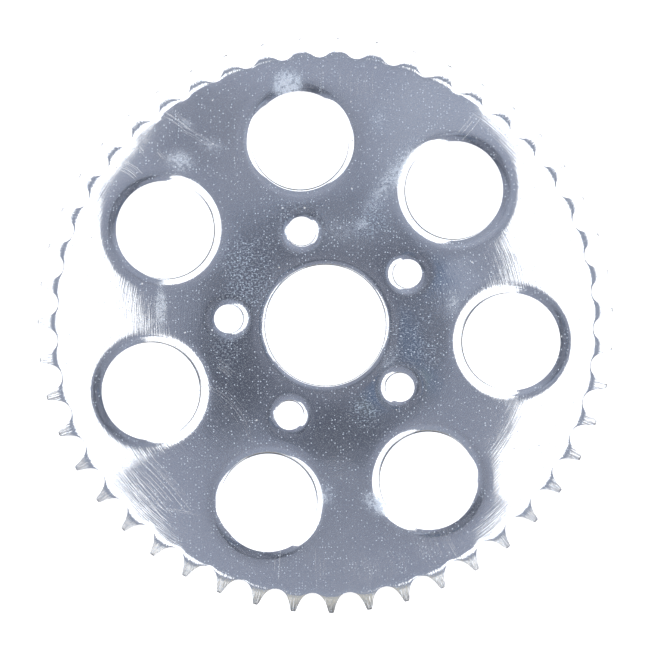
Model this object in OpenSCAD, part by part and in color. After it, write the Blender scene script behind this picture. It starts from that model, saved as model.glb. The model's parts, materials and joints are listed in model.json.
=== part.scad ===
// Rear sprocket of a motorcycle: one flat steel plate with a toothed rim, a hub bore,
// a circle of bolt holes and a ring of lightening holes.
// The plate lies in the XY plane and its middle plane is z = 0, the plane of the chain.
// The wheel's axis is the Z axis, and +Z leaves the polished outer face.

/* [Chain] */
// Pitch of the roller chain
chain_pitch = 15.875; // [15.5:0.005:19.05]
// Diameter of the chain's rollers
roller_d = 10.16; // [9:0.01:10.5]
// Number of teeth
teeth = 47; // [46:1:60]
// Extra radius of each roller seat over the roller, for plating and chain wear
seat_play = 0.26; // [0:0.02:0.5]
// Height of the tips of the teeth above the chain's pitch circle
tip_h = 3.51; // [3:0.01:4.4]
// Angle of the first tooth, counter-clockwise from +X
tooth_turn = 3.11; // [0:0.01:7.65]

/* [Plate] */
// Thickness of the plate
thickness = 8.7; // [6:0.1:9.4]
// Height of the bevelled side of a tooth, from its tip towards the axis
bevel_h = 7.3; // [4:0.1:8]
// Radius of the bevel's curve
bevel_r = 16.9; // [14:0.1:24]

/* [Hub bore] */
// Diameter of the bore that sits on the hub
bore_d = 50.8; // [40:0.1:56]
// Radius of the bore's rounded lips
bore_lip = 0.6; // [0.2:0.1:1.5]

/* [Bolt holes] */
// Number of bolt holes
bolts = 5; // [3:1:6]
// Diameter of the circle that the bolt holes are on
bolt_circle_d = 82.55; // [78:0.05:86]
// Diameter of a bolt hole
bolt_hole_d = 12.1; // [8:0.1:13]
// Radius of a bolt hole's rounded lips
bolt_lip = 0.7; // [0.2:0.1:1.5]
// Angle of the first bolt hole, counter-clockwise from +X
bolt_turn = 32.2; // [0:0.1:72]

/* [Lightening holes] */
// Number of lightening holes
windows = 7; // [4:1:8]
// Distance from the axis to the centre of a lightening hole
window_radius = 79.4; // [76:0.1:82]
// Diameter of a lightening hole
window_d = 41.2; // [24:0.1:43]
// Radius of a lightening hole's rounded lips
window_lip = 0.7; // [0.2:0.1:1.5]
// Angle of the first lightening hole, counter-clockwise from +X
window_turn = 46.4; // [0:0.1:51.4]

/* [Hidden] */
steps = 96;                                   // fineness of every round surface
past = 1;                                     // how far a cutter runs past the plate and the tips

// The tooth form is the standard one for roller chain, with its own names for the angles.
gap_angle = 360 / teeth;
pitch_r = chain_pitch / (2 * sin(180 / teeth));
root_r = pitch_r - roller_d / 2;
tip_r = pitch_r + tip_h;
seat_r = roller_d / 2 + seat_play;            // the bottom of the gap, where a roller sits
seat_y = root_r + seat_r;                     // distance from the axis to the seat's centre
seat_end = 35 + 60 / teeth;                   // the seat's arc stops this far below square
flank_turn = 18 - 56 / teeth;                 // the hollow lower flank turns through this
flank_r = seat_r + 0.8 * roller_d;
flank_c = [-0.8 * roller_d * cos(seat_end), seat_y + 0.8 * roller_d * sin(seat_end)];
slope = seat_end - flank_turn;                // lean of the straight part of the flank
flat_h = roller_d * (1.4 * sin(17 - 64 / teeth) - 0.8 * sin(flank_turn));
topping_r = 0.8 * roller_d;                   // the crowned upper flank
flank_top = flank_c + flank_r * [cos(slope), -sin(slope)];
flat_top = flank_top + flat_h * [sin(slope), cos(slope)];
topping_c = flat_top + topping_r * [cos(slope), -sin(slope)];
topping_end = acos((tip_r + past - topping_c[1]) / topping_r);

// One arc, as points from angle a to angle b
function arc(c, r, a, b, n) =
    [for (i = [0 : n]) c + r * [cos(a + (b - a) * i / n), sin(a + (b - a) * i / n)]];

// The right-hand side of a gap between two teeth, from its bottom to past the tips
gap_side = concat(
    arc([0, seat_y], seat_r, -90, -seat_end, 4),
    arc(flank_c, flank_r, -slope - flank_turn / 2, -slope, 1),
    arc(topping_c, topping_r, 180 - slope, 90 + topping_end, 3)
);
gap_outline = concat(
    gap_side,
    [for (i = [len(gap_side) - 1 : -1 : 1]) [-gap_side[i][0], gap_side[i][1]]]
);

// The plate's section from the axis to the tips, with the bevel of both tooth sides
bevel_c = [tip_r - bevel_h, thickness / 2 - bevel_r];
bevel_end = asin(bevel_h / bevel_r);
bevel_side = arc(bevel_c, bevel_r, 90 - bevel_end, 90, 4);
blank_section = concat(
    [[0, -thickness / 2]],
    [for (i = [len(bevel_side) - 1 : -1 : 0]) [bevel_side[i][0], -bevel_side[i][1]]],
    bevel_side,
    [[0, thickness / 2]]
);

// The turned blank that the teeth are cut in
module blank() {
    rotate_extrude($fn = 2 * steps) polygon(blank_section);
}

// The space between two teeth, right through the plate, square to its faces
module tooth_gap() {
    translate([0, 0, -thickness / 2 - past])
        linear_extrude(thickness + 2 * past) polygon(gap_outline);
}

// A straight hole through the plate, with rounded lips at both faces
module lipped_hole(r, lip) {
    wall_top = thickness / 2 - lip;
    upper = [for (a = [0 : 15 : 90]) [r + lip * (1 - cos(a)), wall_top + lip * sin(a)]];
    lower = [for (a = [90 : -15 : 0]) [r + lip * (1 - cos(a)), -wall_top - lip * sin(a)]];
    top_z = thickness / 2 + past;
    rotate_extrude($fn = steps)
        polygon(concat(
            [[0, -top_z], [r + lip, -top_z]],
            lower,
            upper,
            [[r + lip, top_z], [0, top_z]]
        ));
}

// Children repeated round the axis
module ring(count, radius, turn) {
    for (i = [0 : count - 1])
        rotate(turn + i * 360 / count) translate([radius, 0, 0]) children();
}

module sprocket() {
    color([0.72, 0.74, 0.78])
        difference() {
            blank();
            for (i = [0 : teeth - 1])
                rotate(tooth_turn + (i + 0.5) * gap_angle - 90) tooth_gap();
            lipped_hole(bore_d / 2, bore_lip);
            ring(bolts, bolt_circle_d / 2, bolt_turn) lipped_hole(bolt_hole_d / 2, bolt_lip);
            ring(windows, window_radius, window_turn) lipped_hole(window_d / 2, window_lip);
        }
}

sprocket();
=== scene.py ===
"""The looks of a chrome-plated rear sprocket: its polished plate, its studio and its camera."""
import json
import math

import bpy
import numpy as np
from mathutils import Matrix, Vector
from mathutils.geometry import delaunay_2d_cdt
from mathutils.kdtree import KDTree


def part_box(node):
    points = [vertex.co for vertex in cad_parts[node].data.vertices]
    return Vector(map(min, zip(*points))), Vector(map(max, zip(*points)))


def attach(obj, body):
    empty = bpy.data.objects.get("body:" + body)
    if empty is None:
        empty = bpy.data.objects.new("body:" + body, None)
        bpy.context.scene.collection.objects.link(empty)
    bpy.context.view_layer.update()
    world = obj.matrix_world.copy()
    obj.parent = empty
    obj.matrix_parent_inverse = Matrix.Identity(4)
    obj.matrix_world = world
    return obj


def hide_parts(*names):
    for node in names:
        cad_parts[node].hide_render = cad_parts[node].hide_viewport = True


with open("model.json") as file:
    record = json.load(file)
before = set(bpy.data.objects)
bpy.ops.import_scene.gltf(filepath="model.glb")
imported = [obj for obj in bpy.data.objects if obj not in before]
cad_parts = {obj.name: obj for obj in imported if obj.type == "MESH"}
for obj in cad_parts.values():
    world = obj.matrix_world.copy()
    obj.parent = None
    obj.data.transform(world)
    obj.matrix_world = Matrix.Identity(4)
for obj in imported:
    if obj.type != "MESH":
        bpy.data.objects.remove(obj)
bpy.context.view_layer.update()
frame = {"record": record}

# ---------------------------------------------------------------- sizes, in millimetres
MM = 0.001
TEETH = 47
CHAIN_PITCH = 15.875
ROLLER_D = 10.16
SEAT_PLAY = 0.26          # how much wider a seat's radius is than the roller's
TIP_H = 3.51              # from the chain's pitch circle to the tooth tips
TOOTH_TURN = 3.11         # angle of the first tooth
BEVEL_H = 9.1             # height of the bevelled side of a tooth
BEVEL_CURVE = 0.0335      # how much steeper the bevel gets with each millimetre outwards
BEVEL_CURL = 0.0009       # how much that grows with each millimetre
EDGE_R = 0.1              # rounded edge all round the teeth
CORNER_SOFTNESS = 0.16    # how far the buffing wheel has rounded the corners of the tips
FINE_POINTS = 1400        # points to a tooth while its corners are softened
TOOTH_POINTS = 96         # points to a tooth in the mesh

mounts = {m["name"]: m for m in frame["record"]["mounts"]}
openings = frame["record"]["physics"]["openings"]
plate_low, plate_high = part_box("sprocket")
THICKNESS = (plate_high.z - plate_low.z) / MM
BORE_R = mounts["hub_bore"]["dims"]["r_mm"]
BOLT_R = mounts["hub_bolts"]["dims"]["hole_r_mm"]
WINDOW_R = 20.6

PITCH_R = CHAIN_PITCH / (2 * math.sin(math.pi / TEETH))
ROOT_R = PITCH_R - ROLLER_D / 2
TIP_R = PITCH_R + TIP_H
BEVEL_START = TIP_R - BEVEL_H
PERIOD = 2 * math.pi / TEETH


# ---------------------------------------------------------------- outline of the teeth
def arc(centre, radius, start, end, step=0.02):
    """Points of an arc from one angle to another, in degrees, a small step apart."""
    count = max(2, int(abs(math.radians(end - start)) * radius / step))
    turn = np.radians(np.linspace(start, end, count))
    return np.array(centre) + radius * np.stack([np.cos(turn), np.sin(turn)], 1)


def gap_half():
    """Half a gap and half a tooth, from the seat's bottom to the middle of the tip, with +Y outwards."""
    seat_r = ROLLER_D / 2 + SEAT_PLAY
    seat_y = ROOT_R + seat_r
    seat_end = 35 + 60 / TEETH
    flank_turn = 18 - 56 / TEETH
    lean = seat_end - flank_turn
    reach = 0.8 * ROLLER_D
    away = math.radians(seat_end)
    flank_c = np.array([-reach * math.cos(away), seat_y + reach * math.sin(away)])
    flat_h = ROLLER_D * (1.4 * math.sin(math.radians(17 - 64 / TEETH))
                         - 0.8 * math.sin(math.radians(flank_turn)))
    across = np.array([math.cos(math.radians(lean)), -math.sin(math.radians(lean))])
    along = np.array([math.sin(math.radians(lean)), math.cos(math.radians(lean))])
    flat_top = flank_c + (seat_r + reach) * across + flat_h * along
    crown_c = flat_top + reach * across
    crown = arc(crown_c, reach, 180 - lean, 90)
    crown = crown[np.hypot(*crown.T) < TIP_R]
    tip_start = math.degrees(math.atan2(crown[-1][1], crown[-1][0]))
    tip = arc((0, 0), TIP_R, tip_start, 90 - math.degrees(PERIOD) / 2)
    return np.concatenate([
        arc((0, seat_y), seat_r, -90, -seat_end),
        arc(flank_c, seat_r + reach, -seat_end, -lean),
        crown,
        tip,
    ])


def turned(points, angle):
    """The points turned counter-clockwise about the plate's axis, by an angle in radians."""
    c, s = math.cos(angle), math.sin(angle)
    return points @ np.array([[c, s], [-s, c]])


def spaced(line, count):
    """The same line as points at even distances along it."""
    length = np.concatenate([[0], np.cumsum(np.hypot(*np.diff(line, axis=0).T))])
    at = np.linspace(0, length[-1], count, endpoint=False)
    return np.stack([np.interp(at, length, line[:, k]) for k in (0, 1)], 1)


def tooth_outline():
    """The closed outline, counter-clockwise, with softened corners, and its outward normals."""
    half = gap_half()
    one_period = spaced(np.concatenate([half[::-1], half[1:] * [-1, 1]]), FINE_POINTS)
    around = np.concatenate([turned(one_period, k * PERIOD) for k in (-1, 0, 1)])
    step = np.hypot(*(one_period[1] - one_period[0]))
    reach = int(4 * CORNER_SOFTNESS / step)
    weight = np.exp(-0.5 * (np.arange(-reach, reach + 1) * step / CORNER_SOFTNESS) ** 2)
    weight /= weight.sum()
    soft = np.stack([np.convolve(around[:, k], weight, "same") for k in (0, 1)], 1)
    tangent = np.gradient(soft, axis=0)
    tangent /= np.hypot(*tangent.T)[:, None]
    outward = np.stack([tangent[:, 1], -tangent[:, 0]], 1)
    pick = FINE_POINTS + (np.arange(TOOTH_POINTS) * FINE_POINTS) // TOOTH_POINTS
    start = math.radians(TOOTH_TURN) + PERIOD / 2 - math.pi / 2
    turns = [start + k * PERIOD for k in range(TEETH)]
    return (np.concatenate([turned(soft[pick], a) for a in turns]),
            np.concatenate([turned(outward[pick], a) for a in turns]))


# ---------------------------------------------------------------- shape of the faces
class Hole:
    """A round hole with rounded lips, and a soft dip round it where the buffing wheel sank in."""

    def __init__(self, centre, radius, lip, dip, sides):
        self.centre = np.array(centre)
        self.radius = radius
        self.lip = lip            # radius of the rounded lip, where it is largest
        self.steepness, self.reach = dip
        self.sides = sides


SMALL_LIP = 0.8           # of the bore and the bolt holes
WINDOW_LIP = 1.4          # of the lightening holes
SHARPEST_LIP = 0.03       # on the rim's side of a hole, which the buffing wheel left alone
# How steep the face is at a hole's wall or at a gap between teeth, where the wheel sank in, and how far
# from the edge that reaches
WINDOW_DIP = (0.075, 3.3)
BORE_DIP = (0.068, 3.0)
BOLT_DIP = (0.055, 2.6)
GAP_DIP = (0.045, 0.85)


def lip_radius(hole, turn):
    """The wheel ran outwards, so it rounded the lip most on the side nearest the plate's centre."""
    if not hole.centre.any():
        return np.full(len(turn), hole.lip)
    outward = math.atan2(hole.centre[1], hole.centre[0])
    inner = np.clip(-np.cos(turn - outward), 0, 1)
    return SHARPEST_LIP + (hole.lip - SHARPEST_LIP) * inner ** 0.8


def box_centre(opening):
    """The middle of an opening, in millimetres."""
    low, high = opening["box_m"]
    return [(low[k] + high[k]) / 2 / MM for k in (0, 1)]


OUTLINE, OUTWARD = tooth_outline()
to_outline = KDTree(len(OUTLINE))
for index, place in enumerate(OUTLINE):
    to_outline.insert((*place, 0), index)
to_outline.balance()

holes = [Hole((0, 0), BORE_R, SMALL_LIP, BORE_DIP, 256)]
for opening in openings:
    if opening["name"].startswith("bolt"):
        holes.append(Hole(box_centre(opening), BOLT_R, SMALL_LIP, BOLT_DIP, 96))
    else:
        holes.append(Hole(box_centre(opening), WINDOW_R, WINDOW_LIP, WINDOW_DIP, 192))


erfc = np.vectorize(math.erfc, otypes=[float])


def sunk(steepness, reach, out):
    """How deep the face lies where the wheel sank in; out is the distance from the edge, in reaches."""
    return steepness * reach * math.sqrt(math.pi) / 2 * erfc(out)


def gap_dip(p):
    """How deep the wheel sank in at the edge of the gaps between the teeth, and the slope there."""
    steepness, reach = GAP_DIP
    nearest = [to_outline.find((*q, 0)) for q in p]
    out = np.array([distance for _, _, distance in nearest]) / reach
    outward = OUTWARD[[i for _, i, _ in nearest]]
    return sunk(steepness, reach, out), -steepness * np.exp(-out ** 2)[:, None] * outward


def face_height(p):
    """How high the front face is at each point, and its slope there."""
    r = np.maximum(np.hypot(*p.T), 1e-6)
    rise = np.clip(r - BEVEL_START, 0, None)
    drop = BEVEL_CURVE / 2 * rise ** 2 + BEVEL_CURL / 3 * rise ** 3
    slope = -(BEVEL_CURVE * rise + BEVEL_CURL * rise ** 2)[:, None] * p / r[:, None]
    near_rim = r > ROOT_R - 4 * GAP_DIP[1]
    if near_rim.any():
        gap_drop, gap_slope = gap_dip(p[near_rim])
        drop[near_rim] += gap_drop
        slope[near_rim] += gap_slope
    for hole in holes:
        away = p - hole.centre
        distance = np.maximum(np.hypot(*away.T), 1e-6)
        out = np.maximum(distance - hole.radius, 0) / hole.reach
        drop = drop + sunk(hole.steepness, hole.reach, out)
        slope = slope + (hole.steepness * np.exp(-out ** 2) / distance)[:, None] * away
    return THICKNESS / 2 - drop, slope


class Points:
    """Points of the front face, with their heights and normals, and the loops that they form."""

    def __init__(self):
        self.xy, self.z, self.normal, self.loops = [], [], [], []
        self.count = 0

    def add(self, xy, outward=None, angle=90.0, radius=0.0, closed=False):
        """Adds points. The angle is the one round a rounded edge, from 0 at the wall to 90 on top."""
        z, slope = face_height(xy)
        c, s = math.cos(math.radians(angle)), math.sin(math.radians(angle))
        side = 0 if outward is None else c * outward
        normal = np.concatenate([side - s * slope, np.full((len(xy), 1), s)], 1)
        self.xy.append(xy)
        self.z.append(z - radius * (1 - s))
        self.normal.append(normal / np.linalg.norm(normal, axis=1)[:, None])
        ids = np.arange(self.count, self.count + len(xy))
        self.count += len(xy)
        if closed:
            self.loops.append(ids)
        return ids


def round_about(count, start=0.0):
    """Angles at even steps, all the way round."""
    return start + np.arange(count) * 2 * math.pi / count


def ring(centre, radius, turn):
    """Points of a circle; the radius may change with the turn."""
    return np.array(centre) + (radius * np.array([np.cos(turn), np.sin(turn)])).T


# Rings of points round a hole: how far beyond its lip, and what share of the hole's own number of points
RINGS_ROUND_HOLE = ((0.25, 1), (0.6, 1), (1.0, 1), (1.5, 1), (2.1, 1), (2.9, 0.5), (4.0, 0.5), (5.6, 0.5))
CLEAR_OF_HOLE = 7.4       # how far the rings round the plate's axis stay from a hole
LAST_CLEAR_R = 113.0      # how far out the rings round a hole may reach
TOOTH_RINGS = 0.6         # spacing of the rings of points on the teeth
ALONG_RING = 0.7          # spacing of the points of such a ring
CLEAR_OF_EDGE = 1.05      # how far those points stay from the outline
# Radii of the rings of points on the rest of the face
FACE_RINGS = (112.4, 111.2, 109.8, 108.0, 105.6, 102.8, *range(99, 55, -4), *np.arange(55.5, 34, -3.5))


def lay_out_face():
    """All points of a face. Returns them, and the wall loops: the outline's, then each hole's."""
    points = Points()
    walls = []
    for angle in (0, 22.5, 45, 67.5, 90):
        inset = EDGE_R * (1 - math.cos(math.radians(angle)))
        ids = points.add(OUTLINE - OUTWARD * inset, OUTWARD, angle, EDGE_R, closed=True)
        if angle == 0:
            walls.append(ids)
    for inset in (0.3, 0.55, 0.85):
        line = (OUTLINE - OUTWARD * inset)[::2]
        points.add(line[from_outline(line) > inset - 0.02])
    for hole in holes:
        turn = round_about(hole.sides)
        lip = lip_radius(hole, turn)
        inwards = -ring((0, 0), 1.0, turn)
        for angle in (0, 15, 30, 45, 60, 75, 90):
            inset = lip * (1 - math.cos(math.radians(angle)))
            circle = ring(hole.centre, hole.radius + inset, turn)
            ids = points.add(circle, inwards, angle, lip, closed=True)
            if angle == 0:
                walls.append(ids)
        for away, share in RINGS_ROUND_HOLE:
            turn = round_about(int(hole.sides * share), 0.5 * away)
            circle = ring(hole.centre, hole.radius + hole.lip + away, turn)
            points.add(circle[np.hypot(*circle.T) < LAST_CLEAR_R])
    for r in np.arange(ROOT_R - TOOTH_RINGS, TIP_R - 0.5, TOOTH_RINGS):
        circle = ring((0, 0), r, round_about(int(2 * math.pi * r / ALONG_RING), r))
        points.add(circle[(from_outline(circle) > CLEAR_OF_EDGE) & (r < edge_radius(circle))])
    for r in FACE_RINGS:
        spacing = 1.6 if r > 105 else 3.6
        circle = ring((0, 0), r, round_about(int(2 * math.pi * r / spacing), r))
        points.add(circle[clear_of_holes(circle)])
    return points, walls


def from_outline(p):
    """How far each point is from the teeth's outline."""
    return np.array([to_outline.find((*q, 0))[2] for q in p])


def edge_radius(p):
    """How far out the teeth's outline lies in the direction of each point."""
    turn = np.arctan2(OUTLINE[:, 1], OUTLINE[:, 0])
    order = np.argsort(turn)
    radius = np.hypot(*OUTLINE[order].T)
    return np.interp(np.arctan2(p[:, 1], p[:, 0]), turn[order], radius, period=2 * math.pi)


def clear_of_holes(p):
    """Which points are far enough from every hole."""
    clear = np.ones(len(p), bool)
    for hole in holes:
        clear &= np.hypot(*(p - hole.centre).T) > hole.radius + CLEAR_OF_HOLE
    return clear


# ---------------------------------------------------------------- the mesh
ON_FACES, ON_TEETH, IN_HOLES = 0, 1, 2   # the order of the plate's materials


def face_triangles(xy, loops, walls):
    """Triangles between the points of a face, counter-clockwise, without those outside the plate."""
    edges = [(int(a), int(b)) for loop in loops for a, b in zip(loop, np.roll(loop, -1))]
    flat = delaunay_2d_cdt([Vector(p) for p in xy], edges, [], 0, 1e-6, True)
    source = np.array([ids[0] for ids in flat[3]])
    triangles = source[np.array(flat[2])]
    wall_of = np.full(len(xy), -1)
    for k, loop in enumerate(walls):
        wall_of[loop] = k
    first, second, third = wall_of[triangles].T
    triangles = triangles[~((first >= 0) & (first == second) & (first == third))]
    a, b, c = (xy[triangles[:, k]] for k in range(3))
    clockwise = np.cross(b - a, c - a) < 0
    triangles[clockwise] = triangles[clockwise][:, ::-1]
    return triangles


def wall_strips(walls, xy, z, normal):
    """The walls' points, normals, quads and materials; the points come after those of both faces."""
    verts, normals, quads, materials = [], [], [], []
    count = 2 * len(xy)
    for k, loop in enumerate(walls):
        rows = [loop]
        for share in (0.5, 0.0, -0.5):
            verts.append(np.column_stack([xy[loop], z[loop] * share]))
            normals.append(normal[loop])
            rows.append(np.arange(count, count + len(loop)))
            count += len(loop)
        rows.append(loop + len(xy))
        for upper, lower in zip(rows, rows[1:]):
            strip = np.stack([lower, np.roll(lower, -1), np.roll(upper, -1), upper], 1)
            quads.append(strip if k == 0 else strip[:, ::-1])
            materials += [ON_TEETH if k == 0 else IN_HOLES] * len(strip)
    return verts, normals, np.concatenate(quads), materials


def build_plate():
    """The whole plate as one closed mesh: front face, back face and the walls between them."""
    points, walls = lay_out_face()
    xy, z, normal = (np.concatenate(part) for part in (points.xy, points.z, points.normal))
    front = face_triangles(xy, points.loops, walls)
    back = front[:, ::-1] + len(xy)
    wall_verts, wall_normals, quads, wall_materials = wall_strips(walls, xy, z, normal)
    verts = np.concatenate([np.column_stack([xy, z]), np.column_stack([xy, -z]), *wall_verts])
    normals = np.concatenate([normal, normal * [1, 1, -1], *wall_normals])
    faces = [tuple(face) for part in (front, back, quads) for face in part.tolist()]
    materials = [ON_FACES] * (len(front) + len(back)) + wall_materials
    mesh = bpy.data.meshes.new("sprocket_plate")
    mesh.from_pydata((verts * MM).tolist(), [], faces)
    mesh.update()
    mesh.polygons.foreach_set("material_index", materials)
    mesh.polygons.foreach_set("use_smooth", np.ones(len(faces), bool))
    mesh.normals_split_custom_set_from_vertices(normals.tolist())
    plate = bpy.data.objects.new("sprocket_plate", mesh)
    bpy.context.scene.collection.objects.link(plate)
    return plate


plate = build_plate()
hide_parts("sprocket")
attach(plate, "root")


# ---------------------------------------------------------------- shader building
class Graph:
    """Short ways to add nodes to one shader tree; a value may be a number, a colour or a socket."""

    def __init__(self, tree):
        self.tree = tree

    def feed(self, socket, value):
        if isinstance(value, bpy.types.NodeSocket):
            self.tree.links.new(value, socket)
        else:
            socket.default_value = value

    def add(self, kind, settings, inputs):
        made = self.tree.nodes.new(kind)
        for name, value in settings.items():
            setattr(made, name, value)
        for name, value in inputs.items():
            self.feed(made.inputs[name], value)
        return made

    def math(self, operation, *values):
        return self.add("ShaderNodeMath", {"operation": operation}, dict(enumerate(values))).outputs[0]

    def vector(self, operation, *values, out=0):
        inputs = dict(enumerate(values))
        return self.add("ShaderNodeVectorMath", {"operation": operation}, inputs).outputs[out]

    def length(self, vector):
        return self.vector("LENGTH", vector, out="Value")

    def join(self, x, y, z):
        return self.add("ShaderNodeCombineXYZ", {}, {"X": x, "Y": y, "Z": z}).outputs[0]

    def split(self, vector):
        return self.add("ShaderNodeSeparateXYZ", {}, {"Vector": vector}).outputs

    def mix(self, share, a, b):
        return self.add("ShaderNodeMix", {"data_type": "RGBA"}, {0: share, 6: a, 7: b}).outputs[2]

    def between(self, value, low, high, to_low=0.0, to_high=1.0):
        """Goes smoothly from to_low, where value is low, to to_high, where it is high."""
        inputs = dict(enumerate((value, low, high, to_low, to_high)))
        return self.add("ShaderNodeMapRange", {"interpolation_type": "SMOOTHSTEP"}, inputs).outputs[0]

    def noise(self, vector, scale=1.0, detail=2.0, out=0, **more):
        inputs = {"Vector": vector, "Scale": scale, "Detail": detail, **more}
        return self.add("ShaderNodeTexNoise", {}, inputs).outputs[out]

    def line_noise(self, at):
        """Noise that varies along a line only."""
        inputs = {"W": at, "Scale": 1.0}
        return self.add("ShaderNodeTexNoise", {"noise_dimensions": "1D"}, inputs).outputs[0]

    def placed(self, vector, centre, turn, size):
        """The vector in the frame of a thing at centre, turned in degrees, in units of its half size."""
        inputs = {"Vector": vector, "Location": (*centre, 0), "Rotation": (0, 0, math.radians(turn)),
                  "Scale": (*size, 1)}
        return self.add("ShaderNodeMapping", {"vector_type": "TEXTURE"}, inputs).outputs[0]

    def ramp(self, value, stops):
        """A colour ramp; each stop is a position from 0 to 1 and a colour."""
        made = self.add("ShaderNodeValToRGB", {}, {0: value})
        elements = made.color_ramp.elements
        while len(elements) < len(stops):
            elements.new(0.5)
        for element, (position, colour) in zip(elements, stops):
            element.position = position
            element.color = colour
        return made.outputs[0]

    def total(self, *values):
        result = values[0]
        for value in values[1:]:
            result = self.math("ADD", result, value)
        return result

    def largest(self, *values):
        result = values[0]
        for value in values[1:]:
            result = self.math("MAXIMUM", result, value)
        return result

    def use(self, group, inputs):
        made = self.tree.nodes.new("ShaderNodeGroup")
        made.node_tree = group
        for name, value in inputs.items():
            self.feed(made.inputs[name], value)
        return made.outputs


def grey(level):
    """A colour without any tint."""
    return level, level, level, 1


def new_group(name, inputs, outputs):
    """An empty node group, with its graph, the sockets that bring its inputs and those of its outputs."""
    group = bpy.data.node_groups.new(name, "ShaderNodeTree")
    for socket, value in inputs.items():
        kind = "NodeSocketVector" if value is None else "NodeSocketFloat"
        made = group.interface.new_socket(socket, in_out="INPUT", socket_type=kind)
        if value is not None:
            made.default_value = value
    for socket, kind in outputs.items():
        group.interface.new_socket(socket, in_out="OUTPUT", socket_type=kind)
    graph = Graph(group)
    given = group.nodes.new("NodeGroupInput").outputs
    wanted = group.nodes.new("NodeGroupOutput").inputs
    return group, graph, given, wanted


# ---------------------------------------------------------------- effects that materials share
def buffed_grain_group():
    """The strokes of a buffing wheel on a turning plate: Around is how many there are to a radian."""
    inputs = {"Vector": None, "Around": 5.0, "Across": 2.0}
    group, g, given, wanted = new_group("buffed_grain", inputs, {"Height": "NodeSocketFloat"})
    x, y, _ = g.split(given["Vector"])
    flat = g.join(x, y, 0.0)
    r = g.length(flat)
    way = g.vector("NORMALIZE", flat)
    cosine, sine, _ = g.split(way)
    at = g.join(g.math("MULTIPLY", cosine, given["Around"]),
                g.math("MULTIPLY", sine, given["Around"]),
                g.math("MULTIPLY", r, given["Across"]))
    g.feed(wanted["Height"], g.math("SUBTRACT", g.noise(at, detail=3.0), 0.5))
    return group


def scratch_bundle_group():
    """A few nearly parallel scratches in a patch; the vector is in the patch's own frame, from -1 to 1."""
    inputs = {"Vector": None, "Lines": 4.0, "Bend": 0.0, "Seed": 0.0}
    group, g, given, wanted = new_group("scratch_bundle", inputs, {"Mask": "NodeSocketFloat"})
    along, across, _ = g.split(given["Vector"])
    bent = g.math("ADD", across, g.math("MULTIPLY", g.math("MULTIPLY", along, along), given["Bend"]))
    place = g.math("ADD", g.math("MULTIPLY", bent, given["Lines"]), given["Seed"])
    line = g.between(g.line_noise(g.math("MULTIPLY", place, 2.0)), 0.55, 0.63)
    reach = g.between(g.line_noise(g.math("ADD", place, 37.0)), 0.35, 0.65, 0.35, 1.0)
    inside = g.between(g.math("ABSOLUTE", along), reach, g.math("ADD", reach, 0.12), 1.0, 0.0)
    beside = g.between(g.math("ABSOLUTE", bent), 0.8, 1.0, 1.0, 0.0)
    g.feed(wanted["Mask"], g.math("MULTIPLY", g.math("MULTIPLY", line, inside), beside))
    return group


def specks_group(name, dimensions):
    """Scattered dots of dust, one in some of the cells of a grid of Spacing; 2D ones don't vary along Z."""
    inputs = {"Vector": None, "Spacing": 2.0, "Size": 0.3, "Share": 0.3}
    group, g, given, wanted = new_group(name, inputs, {"Mask": "NodeSocketFloat"})
    scale = g.math("DIVIDE", 1.0, given["Spacing"])
    inputs = {"Vector": given["Vector"], "Scale": scale}
    cell = g.add("ShaderNodeTexVoronoi", {"voronoi_dimensions": dimensions}, inputs).outputs
    chance, size, _ = g.split(cell["Color"])
    there = g.math("LESS_THAN", chance, given["Share"])
    reach = g.math("MULTIPLY", g.math("DIVIDE", given["Size"], given["Spacing"]),
                   g.between(size, 0.0, 1.0, 0.3, 1.0))
    dot = g.between(cell["Distance"], g.math("MULTIPLY", reach, 0.4), reach, 1.0, 0.0)
    g.feed(wanted["Mask"], g.math("MULTIPLY", there, dot))
    return group


def chrome_tone_group():
    """Chrome's slightly blue white, with slow clouds of a warmer and a darker tone."""
    inputs = {"Vector": None, "Clouds": 0.5}
    group, g, given, wanted = new_group("chrome_tone", inputs, {"Color": "NodeSocketColor"})
    slow = g.between(g.noise(given["Vector"], 0.035, 3.0), 0.35, 0.65)
    tone = g.mix(slow, (0.86, 0.88, 0.92, 1), (0.93, 0.935, 0.945, 1))
    g.feed(wanted["Color"], g.mix(given["Clouds"], (0.92, 0.93, 0.95, 1), tone))
    return group


def tool_marks_group():
    """Fine lines that a cutter leaves, and a mask of the deep ones. The vector is stretched along them."""
    inputs = {"Vector": None, "Pitch": 0.4}
    outputs = {"Height": "NodeSocketFloat", "Deep": "NodeSocketFloat"}
    group, g, given, wanted = new_group("tool_marks", inputs, outputs)
    scale = g.math("DIVIDE", 1.0, given["Pitch"])
    fine = g.noise(given["Vector"], scale, 3.0)
    coarse = g.noise(given["Vector"], g.math("MULTIPLY", scale, 0.22), 1.0)
    g.feed(wanted["Height"], g.total(g.math("MULTIPLY", fine, 0.4), g.math("MULTIPLY", coarse, 1.2)))
    g.feed(wanted["Deep"], g.between(fine, 0.55, 0.7))
    return group


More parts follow.
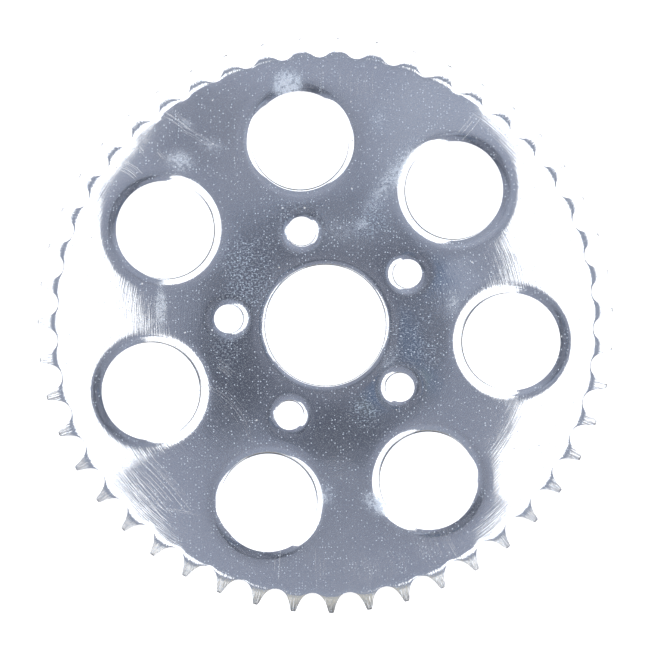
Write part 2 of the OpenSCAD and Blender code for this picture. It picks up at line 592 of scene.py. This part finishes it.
def hole_ring_group():
    """How far a point is from the nearest hole of a ring of equal holes."""
    inputs = {"Vector": None, "Count": 7.0, "Ring radius": 80.0, "Turn": 0.0, "Hole radius": 20.0}
    group, g, given, wanted = new_group("from_ring_of_holes", inputs, {"Distance": "NodeSocketFloat"})
    x, y, _ = g.split(given["Vector"])
    r = g.length(g.join(x, y, 0.0))
    step = g.math("DIVIDE", 2 * math.pi, given["Count"])
    half = g.math("MULTIPLY", step, 0.5)
    turn = g.math("SUBTRACT", g.math("ARCTAN2", y, x), g.math("SUBTRACT", given["Turn"], half))
    local = g.math("SUBTRACT", g.math("FLOORED_MODULO", turn, step), half)
    along = g.math("SUBTRACT", g.math("MULTIPLY", r, g.math("COSINE", local)), given["Ring radius"])
    away = g.join(along, g.math("MULTIPLY", r, g.math("SINE", local)), 0.0)
    g.feed(wanted["Distance"], g.math("SUBTRACT", g.length(away), given["Hole radius"]))
    return group


BUFFED_GRAIN = buffed_grain_group()
SCRATCH_BUNDLE = scratch_bundle_group()
SPECKS_ON_FACE = specks_group("specks_on_face", "2D")
SPECKS_ON_WALL = specks_group("specks_on_wall", "3D")
CHROME_TONE = chrome_tone_group()
TOOL_MARKS = tool_marks_group()
FROM_RING = hole_ring_group()


# ---------------------------------------------------------------- materials
def in_mm(graph):
    """The place on the plate, in millimetres."""
    where = graph.add("ShaderNodeTexCoord", {}, {}).outputs["Object"]
    inputs = {"Vector": where, "Scale": 1 / MM}
    return graph.add("ShaderNodeVectorMath", {"operation": "SCALE"}, inputs).outputs[0]


def bumped(graph, height_um):
    """A normal from a height in micrometres."""
    inputs = {"Strength": 1.0, "Distance": 1e-6, "Height": height_um}
    return graph.add("ShaderNodeBump", {}, inputs).outputs[0]


def ring_of(name):
    """Count, ring radius and turn of the openings whose names start so."""
    centres = [box_centre(o) for o in openings if o["name"].startswith(name)]
    x, y = centres[0]
    return {"Count": len(centres), "Ring radius": math.hypot(x, y), "Turn": math.atan2(y, x)}


# Scratches: centre, turn, half length and half width, number of lines, bend, how strong they are
SCRATCHES = (
    ((-62.9, 86.8), -35, (7.0, 2.6), 4.0, 0.1, 0.40),
    ((-54.0, 80.0), -30, (8.0, 1.5), 2.0, 0.1, 0.18),
    ((-82.6, 66.0), -33, (5.0, 2.6), 4.0, 0.3, 0.42),
    ((-78.3, 74.6), -52, (3.2, 1.0), 1.6, 0.0, 0.40),
    ((-70.0, 72.0), -50, (2.4, 1.4), 3.0, 0.0, 0.20),
    ((60.7, 84.2), 50, (6.0, 2.4), 3.0, -0.1, 0.25),
    ((-42.4, -18.4), -40, (5.0, 2.0), 3.0, 0.1, 0.20),
    ((-39.0, -35.3), -50, (16.0, 5.0), 4.0, 0.9, 0.10),
    ((-61.5, -79.0), -9, (11.0, 0.8), 1.4, 0.2, 0.16),
    ((66.2, -85.8), 35, (4.5, 1.2), 2.0, 0.0, 0.22),
    ((22.0, -103.0), 102, (7.0, 14.0), 17.0, -0.12, 0.14),
    ((46.0, -93.0), 112, (10.0, 9.5), 11.0, 0.15, 0.12),
    ((-2.5, -103.0), 92, (8.0, 3.0), 3.0, 0.05, 0.16),
    ((-21.0, -101.5), 86, (6.5, 2.0), 1.6, 0.05, 0.16),
    ((5.6, -60.4), 2, (7.0, 6.0), 9.0, 0.0, 0.11),
    ((-71.0, -69.0), -48, (15.0, 8.0), 8.0, 0.1, 0.18),
    ((8.0, 103.0), 88, (5.0, 14.0), 10.0, 0.0, 0.12),
)
SEED_STEP = 11.3          # makes each patch of scratches different
# Smears of polish left on the face: centre, half size, turn, how strong they are
SMEARS = (
    ((-16.1, 102.0), (9.5, 9.5), 20, 0.60),
    ((-61.5, 69.5), (9.5, 7.5), -10, 0.20),
    ((-48.0, 76.0), (9.0, 5.0), -20, 0.14),
    ((-58.5, 85.1), (5.0, 3.0), -30, 0.12),
    ((22.9, 87.7), (6.0, 9.0), 0, 0.14),
    ((27.5, 62.0), (28.0, 6.5), 55, 0.27),
    ((15.5, 43.0), (5.5, 4.5), 40, 0.25),
    ((8.0, 40.0), (16.0, 8.0), 0, 0.13),
    ((20.8, -75.5), (9.0, 6.0), -40, 0.38),
    ((1.0, -71.5), (4.5, 8.0), 0, 0.24),
    ((-69.8, 8.5), (3.8, 14.0), 0, 0.20),
    ((54.0, 9.5), (4.5, 9.0), -10, 0.18),
    ((27.0, -14.5), (4.0, 10.0), -30, 0.18),
)
# How hard the wheel pressed: share of the way round, counter-clockwise from the left, and strength
RUBBED = ((0.00, 0.85), (0.04, 0.35), (0.09, 0.90), (0.15, 0.50), (0.25, 0.25), (0.36, 0.45), (0.41, 0.32),
          (0.47, 0.20), (0.51, 0.25), (0.54, 0.85), (0.575, 0.35), (0.62, 0.35), (0.68, 0.08), (0.90, 0.08),
          (0.95, 0.35), (1.00, 0.85))
# Patches where the painted sheen, a mottle that stands in for reflected light, is strongest: centre, half
# size, turn, how strong it is
PAINTED_SHEEN_PATCHES = (
    ((-33.0, 22.0), (20.0, 28.0), 0, 0.42),
    ((-42.0, -8.0), (13.0, 20.0), 0, 0.22),
    ((40.0, -5.0), (17.0, 27.0), 0, 0.36),
    ((17.0, -36.0), (11.0, 11.0), 0, 0.44),
    ((20.0, 44.0), (14.0, 14.0), 0, 0.34),
    ((-13.0, 44.0), (22.0, 16.0), 0, 0.26),
)

GRAIN_UM = 5.0            # depth of the buffing strokes, where the wheel pressed hardest
RAY_UM = 24.0             # depth of the strokes up the teeth, for each millimetre up the bevel
PEEL_UM = 4.0             # slow unevenness of the plating
# The blue white of the painted sheen, which stands in for reflected light
PAINTED_SHEEN_BLUE = (0.72, 0.84, 1.0, 1)
POLISH_WHITE = (0.80, 0.83, 0.92, 1)


def patches(g, flat, rows):
    """Soft-edged patches on the face, each of its own strength."""
    masks = []
    for centre, size, turn, strength in rows:
        masks.append(g.between(g.length(g.placed(flat, centre, turn, size)), 0.1, 1.0, strength, 0.0))
    return g.largest(*masks)


def scratches(g, p):
    """A mask of all the scratches."""
    bundles = []
    for k, (centre, turn, size, lines, bend, strength) in enumerate(SCRATCHES):
        patch = g.placed(p, centre, turn, size)
        inputs = {"Vector": patch, "Lines": lines, "Bend": bend, "Seed": SEED_STEP * k}
        bundles.append(g.math("MULTIPLY", g.use(SCRATCH_BUNDLE, inputs)[0], strength))
    return g.largest(*bundles)


def smears(g, p, flat):
    """A mask of the smears of polish, with ragged edges."""
    ragged = g.between(g.noise(p, 0.8, 3.0), 0.35, 0.6, 0.35, 1.1)
    return g.math("MULTIPLY", patches(g, flat, SMEARS), ragged)


def painted_sheen_mottle(g, p, flat):
    """A mask of painted sheen: a fine whitish-blue mottle over the whole face that stands in for the light
    its rippled chrome reflects, strongest in the listed patches.
    """
    uneven = g.between(g.noise(p, 0.11, 1.0), 0.35, 0.55, 0.35, 1.0)
    sheen_patches = g.math("MULTIPLY", patches(g, flat, PAINTED_SHEEN_PATCHES), uneven)
    mottle = g.noise(g.vector("MULTIPLY", p, (0.85, 1.45, 1.0)), 1.15, 1.0)
    return g.math("MULTIPLY", g.between(mottle, 0.47, 0.62), g.math("ADD", 0.12, sheen_patches))


def lines_round_holes(g, p, r):
    """A mask of the fine lines that turning leaves in a band round each hole."""
    windows = g.use(FROM_RING, {"Vector": p, "Hole radius": WINDOW_R, **ring_of("lightening")})[0]
    bolts = g.use(FROM_RING, {"Vector": p, "Hole radius": BOLT_R, **ring_of("bolt")})[0]
    from_hole = g.math("MINIMUM", g.math("MINIMUM", windows, bolts), g.math("SUBTRACT", r, BORE_R))
    band = g.math("MULTIPLY", g.between(from_hole, 1.5, 3.0), g.between(from_hole, 4.0, 6.5, 1.0, 0.0))
    lines = g.between(g.line_noise(g.math("MULTIPLY", from_hole, 2.2)), 0.5, 0.7)
    return g.math("MULTIPLY", lines, band)


def buffed_height(g, p, azimuth, bevel):
    """The relief that plating and buffing leave, in micrometres."""
    rubbed = g.ramp(azimuth, [(at, grey(level)) for at, level in RUBBED])
    circles = g.use(BUFFED_GRAIN, {"Vector": p, "Around": 7.0, "Across": 1.9})[0]
    rays = g.use(BUFFED_GRAIN, {"Vector": p, "Around": 150.0, "Across": 0.12})[0]
    peel = g.noise(p, 0.16, 1.0)
    return g.total(
        g.math("MULTIPLY", g.math("MULTIPLY", circles, rubbed), GRAIN_UM),
        g.math("MULTIPLY", g.math("MULTIPLY", rays, bevel), RAY_UM),
        g.math("MULTIPLY", peel, PEEL_UM))


def polished_chrome():
    """Chrome that a buffing wheel has polished: grain, a painted whitish-blue sheen that stands in for
    reflected light, dust, scratches and smears.
    """
    material = bpy.data.materials.new("polished_chrome")
    material.use_nodes = True
    g = Graph(material.node_tree)
    surface = material.node_tree.nodes["Principled BSDF"].inputs
    p = in_mm(g)
    x, y, _ = g.split(p)
    flat = g.join(x, y, 0.0)
    r = g.length(flat)
    azimuth = g.math("ADD", g.math("DIVIDE", g.math("ARCTAN2", y, x), 2 * math.pi), 0.5)
    bevel = g.math("MAXIMUM", g.math("SUBTRACT", r, BEVEL_START), 0.0)

    scratch = scratches(g, p)
    smear = smears(g, p, flat)
    # Painted sheen: a whitish-blue, less metallic mottle that stands in for the light the rippled chrome
    # reflects
    sheen_mask = painted_sheen_mottle(g, p, flat)
    fine_dust = g.use(SPECKS_ON_FACE, {"Vector": p, "Spacing": 1.25, "Size": 0.32, "Share": 0.30})[0]
    lint = g.use(SPECKS_ON_FACE, {"Vector": p, "Spacing": 10.0, "Size": 0.55, "Share": 0.25})[0]
    dust = g.math("MAXIMUM", fine_dust, lint)
    ring_lines = lines_round_holes(g, p, r)

    tone = g.use(CHROME_TONE, {"Vector": p, "Clouds": 0.5})[0]
    # The whitish share of the base colour: painted sheen, together with real smears of polish and dust
    sheen_and_grime = g.total(sheen_mask, smear, g.math("MULTIPLY", fine_dust, 0.4))
    sheen_and_grime_share = g.math("MINIMUM", 1.0, g.math("MULTIPLY", sheen_and_grime, 2.5))
    g.feed(surface["Base Color"], g.mix(sheen_and_grime_share, tone, g.mix(smear, PAINTED_SHEEN_BLUE, POLISH_WHITE)))
    # The painted sheen takes away metal too, along with real dust, scratches, smears and turning lines
    g.feed(surface["Metallic"], g.math("SUBTRACT", 1.0, g.math("MINIMUM", 0.8, g.total(
        g.math("MULTIPLY", dust, 0.5), scratch, sheen_mask, smear, g.math("MULTIPLY", ring_lines, 0.09)))))
    g.feed(surface["Roughness"], g.math("MINIMUM", 0.6, g.total(
        0.03, g.math("MULTIPLY", g.math("ADD", scratch, smear), 0.5), g.math("MULTIPLY", dust, 0.4),
        g.math("MULTIPLY", g.between(bevel, 0.0, 3.0), 0.03))))
    g.feed(surface["Normal"], bumped(g, buffed_height(g, p, azimuth, bevel)))
    return material


def chrome_over_cuts(name, stretch, pitch, depth):
    """Chrome over a cut wall: stretch is how much the tool's lines are drawn out along X, Y and Z."""
    material = bpy.data.materials.new(name)
    material.use_nodes = True
    g = Graph(material.node_tree)
    surface = material.node_tree.nodes["Principled BSDF"].inputs
    p = in_mm(g)
    marks = g.use(TOOL_MARKS, {"Vector": g.vector("DIVIDE", p, stretch), "Pitch": pitch})
    dust = g.use(SPECKS_ON_WALL, {"Vector": p, "Spacing": 1.9, "Size": 0.3, "Share": 0.3})[0]
    g.feed(surface["Base Color"], g.use(CHROME_TONE, {"Vector": p, "Clouds": 1.0})[0])
    g.feed(surface["Metallic"], g.math("SUBTRACT", 1.0, g.math("MULTIPLY", dust, 0.5)))
    g.feed(surface["Roughness"], g.total(0.10, g.math("MULTIPLY", marks["Deep"], 0.18),
                                         g.math("MULTIPLY", dust, 0.3)))
    g.feed(surface["Normal"], bumped(g, g.math("MULTIPLY", marks["Height"], depth)))
    return material


plate.data.materials.append(polished_chrome())
plate.data.materials.append(chrome_over_cuts("chrome_over_hobbed_teeth", (1.0, 1.0, 14.0), 0.45, 9.0))
plate.data.materials.append(chrome_over_cuts("chrome_over_bored_walls", (30.0, 30.0, 1.0), 0.35, 7.0))


# ---------------------------------------------------------------- studio
WHITE = grey(1.7)
PANEL_GAP = (0.30, 0.33, 0.41, 1)
DARK = (0.085, 0.095, 0.125, 1)
DIM = (0.165, 0.18, 0.225, 1)
LIGHT = (0.40, 0.44, 0.54, 1)
SLATE_BLUE = (0.11, 0.17, 0.28, 1)
FAINT_GREEN = (0.32, 0.42, 0.36, 1)
# Things round the camera that the plate mirrors: centre and half size in thousandths of how high they are,
# turn, how strong they are, and their colour
MIRRORED = (
    ((-52.0, 84.0), (36.0, 24.0), 35, 0.50, DIM),
    ((8.0, -88.0), (85.0, 48.0), 0, 0.30, DIM),
    ((-42.0, -20.0), (22.0, 42.0), 0, 0.70, DARK),
    ((10.0, -48.0), (32.0, 17.0), 0, 0.60, DARK),
    ((48.0, 80.0), (42.0, 42.0), 0, 0.50, LIGHT),
    ((10.0, 42.0), (32.0, 18.0), 0, 0.18, LIGHT),
    ((57.0, 16.0), (12.0, 19.0), 0, 0.65, LIGHT),
    ((48.0, 20.0), (5.0, 14.0), 0, 0.65, SLATE_BLUE),
    ((35.0, -6.0), (8.0, 22.0), 10, 0.40, SLATE_BLUE),
    ((22.0, -27.0), (7.0, 10.0), 0, 0.65, SLATE_BLUE),
    ((44.0, -24.0), (6.0, 8.0), 0, 0.40, SLATE_BLUE),
    ((18.3, -34.5), (3.6, 1.6), 0, 0.55, FAINT_GREEN),
    ((41.3, -24.0), (1.2, 4.5), -15, 0.40, FAINT_GREEN),
)


def opening_of_tent(g, u, v):
    """A mask of the two side panels, and how far beyond them a point of the tent is.

    A panel's inner edge isn't straight: it steps out near the bottom, and leans out towards the top.
    """
    across = g.math("ABSOLUTE", u)
    along = g.math("ABSOLUTE", v)
    left_lean = g.math("MULTIPLY", g.math("MAXIMUM", v, 0.0), 0.32)
    left_edge = g.total(0.079, left_lean, g.between(v, -0.066, -0.058, 0.02, 0.0))
    right_lean = g.math("MULTIPLY", g.math("MAXIMUM", g.math("SUBTRACT", v, 0.043), 0.0), 0.17)
    right_edge = g.total(
        g.between(v, -0.078, -0.072, 0.02, 0.0), g.between(v, -0.060, -0.038, 0.0722, 0.0815),
        g.between(v, 0.0, 0.01, 0.0, -0.0017), g.between(v, 0.028, 0.036, 0.0, -0.0043), right_lean)
    beside = g.math("MAXIMUM", g.math("DIVIDE", g.math("MULTIPLY", u, -1.0), left_edge),
                    g.math("DIVIDE", u, right_edge))
    off_centre = g.math("ABSOLUTE", g.math("ADD", u, 0.0015))
    corner = g.math("ADD", g.math("MULTIPLY", off_centre, 0.809), g.math("MULTIPLY", along, 0.587))
    slanted = g.math("MULTIPLY", g.between(corner, 0.1085, 0.1093), g.between(across, 0.064, 0.070))
    panel = g.math("MAXIMUM", g.between(beside, 0.985, 1.015), slanted)
    square = g.math("MAXIMUM", across, along)
    panel = g.math("MULTIPLY", panel, g.between(square, 0.195, 0.212, 1.0, 0.0))
    return panel, g.math("MAXIMUM", g.math("MULTIPLY", across, 0.85), along)


CEILING_REACH = 0.13      # how far the ceiling's colours go on, where the camera's height is 1


def ceiling_colour(g, plane, spread):
    """What is over the camera: a dim ceiling with the things in MIRRORED below it."""
    uneven = g.math("MULTIPLY", g.math("SUBTRACT", g.noise(plane, 45.0, 3.0), 0.5), 0.022)
    ceiling = g.ramp(g.math("MULTIPLY", g.math("ADD", spread, uneven), 1 / CEILING_REACH), [
        (0.20, (0.165, 0.18, 0.23, 1)), (0.27, (0.128, 0.142, 0.186, 1)), (0.38, (0.155, 0.172, 0.222, 1)),
        (0.46, (0.235, 0.26, 0.33, 1)), (0.62, (0.262, 0.285, 0.357, 1)), (0.82, (0.315, 0.343, 0.43, 1))])
    wobble = g.vector("SUBTRACT", g.noise(plane, 150.0, 2.0, out=1), (0.5, 0.5, 0.5))
    shifted = g.vector("ADD", plane, g.vector("MULTIPLY", wobble, (0.012, 0.012, 0.0)))
    for (centre_u, centre_v), (half_u, half_v), turn, strength, tint in MIRRORED:
        at = g.placed(shifted, (centre_u * MM, centre_v * MM), turn, (half_u * MM, half_v * MM))
        ceiling = g.mix(g.between(g.length(at), 0.35, 1.0, strength, 0.0), ceiling, tint)
    return ceiling


def tent_colour(g, spread, azimuth, below):
    """The tent's sheet all round, which is beige on the side nearest the bottom of the view."""
    beige = g.mix(g.between(spread, 0.35, 0.95), (0.52, 0.505, 0.465, 1), (0.24, 0.24, 0.24, 1))
    tent = g.ramp(azimuth, [
        (0.020, WHITE), (0.035, (0.50, 0.51, 0.55, 1)), (0.100, (0.46, 0.47, 0.52, 1)),
        (0.125, (0.80, 0.80, 0.82, 1)), (0.165, grey(1.0)), (0.345, grey(1.2)),
        (0.375, (0.46, 0.47, 0.52, 1)), (0.425, (0.40, 0.42, 0.48, 1)),
        (0.445, (0.75, 0.75, 0.78, 1)), (0.470, WHITE)])
    return g.mix(below, tent, beige)


def light_studio():
    """A white tent, open over the camera, with soft panels at its sides and a dark line at its foot."""
    world = bpy.data.worlds.new("studio")
    bpy.context.scene.world = world
    world.use_nodes = True
    world.cycles.sampling_method = "NONE"
    world.node_tree.nodes.clear()
    g = Graph(world.node_tree)
    x, y, z = g.split(g.add("ShaderNodeTexCoord", {}, {}).outputs["Generated"])
    up = g.math("MAXIMUM", z, 0.001)
    u, v = g.math("DIVIDE", x, up), g.math("DIVIDE", y, up)
    plane = g.join(u, v, 0.0)
    spread = g.length(plane)
    azimuth = g.math("ADD", g.math("DIVIDE", g.math("ARCTAN2", v, u), 2 * math.pi), 0.5)

    panel, beyond = opening_of_tent(g, u, v)
    sheet = g.between(beyond, 0.310, 0.365)
    below = g.ramp(azimuth, [(0.19, grey(0)), (0.208, grey(1)), (0.300, grey(1)), (0.312, grey(0))])
    far = tent_colour(g, spread, azimuth, below)
    colour = g.mix(g.between(spread, 0.11, 0.14), ceiling_colour(g, plane, spread), PANEL_GAP)
    colour = g.mix(g.math("MULTIPLY", below, g.between(spread, 0.25, 0.30)), colour, (0.52, 0.51, 0.475, 1))
    colour = g.mix(panel, colour, WHITE)
    colour = g.mix(sheet, colour, far)
    colour = g.mix(g.between(spread, 1.02, 1.45), colour, (0.05, 0.055, 0.07, 1))
    colour = g.mix(g.between(spread, 3.0, 9.0), colour, (0.40, 0.41, 0.45, 1))
    seen = g.add("ShaderNodeLightPath", {}, {}).outputs["Is Camera Ray"]
    colour = g.mix(seen, colour, grey(1.0))
    background = g.add("ShaderNodeBackground", {}, {"Color": colour})
    output = g.add("ShaderNodeOutputWorld", {}, {})
    g.feed(output.inputs["Surface"], background.outputs[0])


light_studio()

FLOOR = 6.0               # half the side of the floor, in metres


def lay_floor():
    """A sheet of white paper that glows a little, so that it stays pale in the holes too."""
    z = plate_low.z
    mesh = bpy.data.meshes.new("floor")
    corners = [(sx * FLOOR, sy * FLOOR, z) for sx, sy in ((-1, -1), (1, -1), (1, 1), (-1, 1))]
    mesh.from_pydata(corners, [], [(0, 1, 2, 3)])
    floor = bpy.data.objects.new("floor", mesh)
    bpy.context.scene.collection.objects.link(floor)
    paper = bpy.data.materials.new("white_paper")
    paper.use_nodes = True
    surface = paper.node_tree.nodes["Principled BSDF"].inputs
    surface["Base Color"].default_value = grey(0.85)
    surface["Roughness"].default_value = 0.9
    surface["Emission Color"].default_value = grey(1.0)
    surface["Emission Strength"].default_value = 0.72
    mesh.materials.append(paper)


lay_floor()


# ---------------------------------------------------------------- camera
CAMERA_H = 1.0
VIEW_WIDTH = 0.2757       # width of the view on the front face
camera_data = bpy.data.cameras.new("camera")
camera_data.sensor_width = 36
camera_data.lens = 36 * CAMERA_H / VIEW_WIDTH
camera = bpy.data.objects.new("camera", camera_data)
camera.location = (-0.00017, 0.00009, plate_high.z + CAMERA_H)
bpy.context.scene.collection.objects.link(camera)
bpy.context.scene.camera = camera
bpy.context.scene.view_settings.view_transform = "Standard"
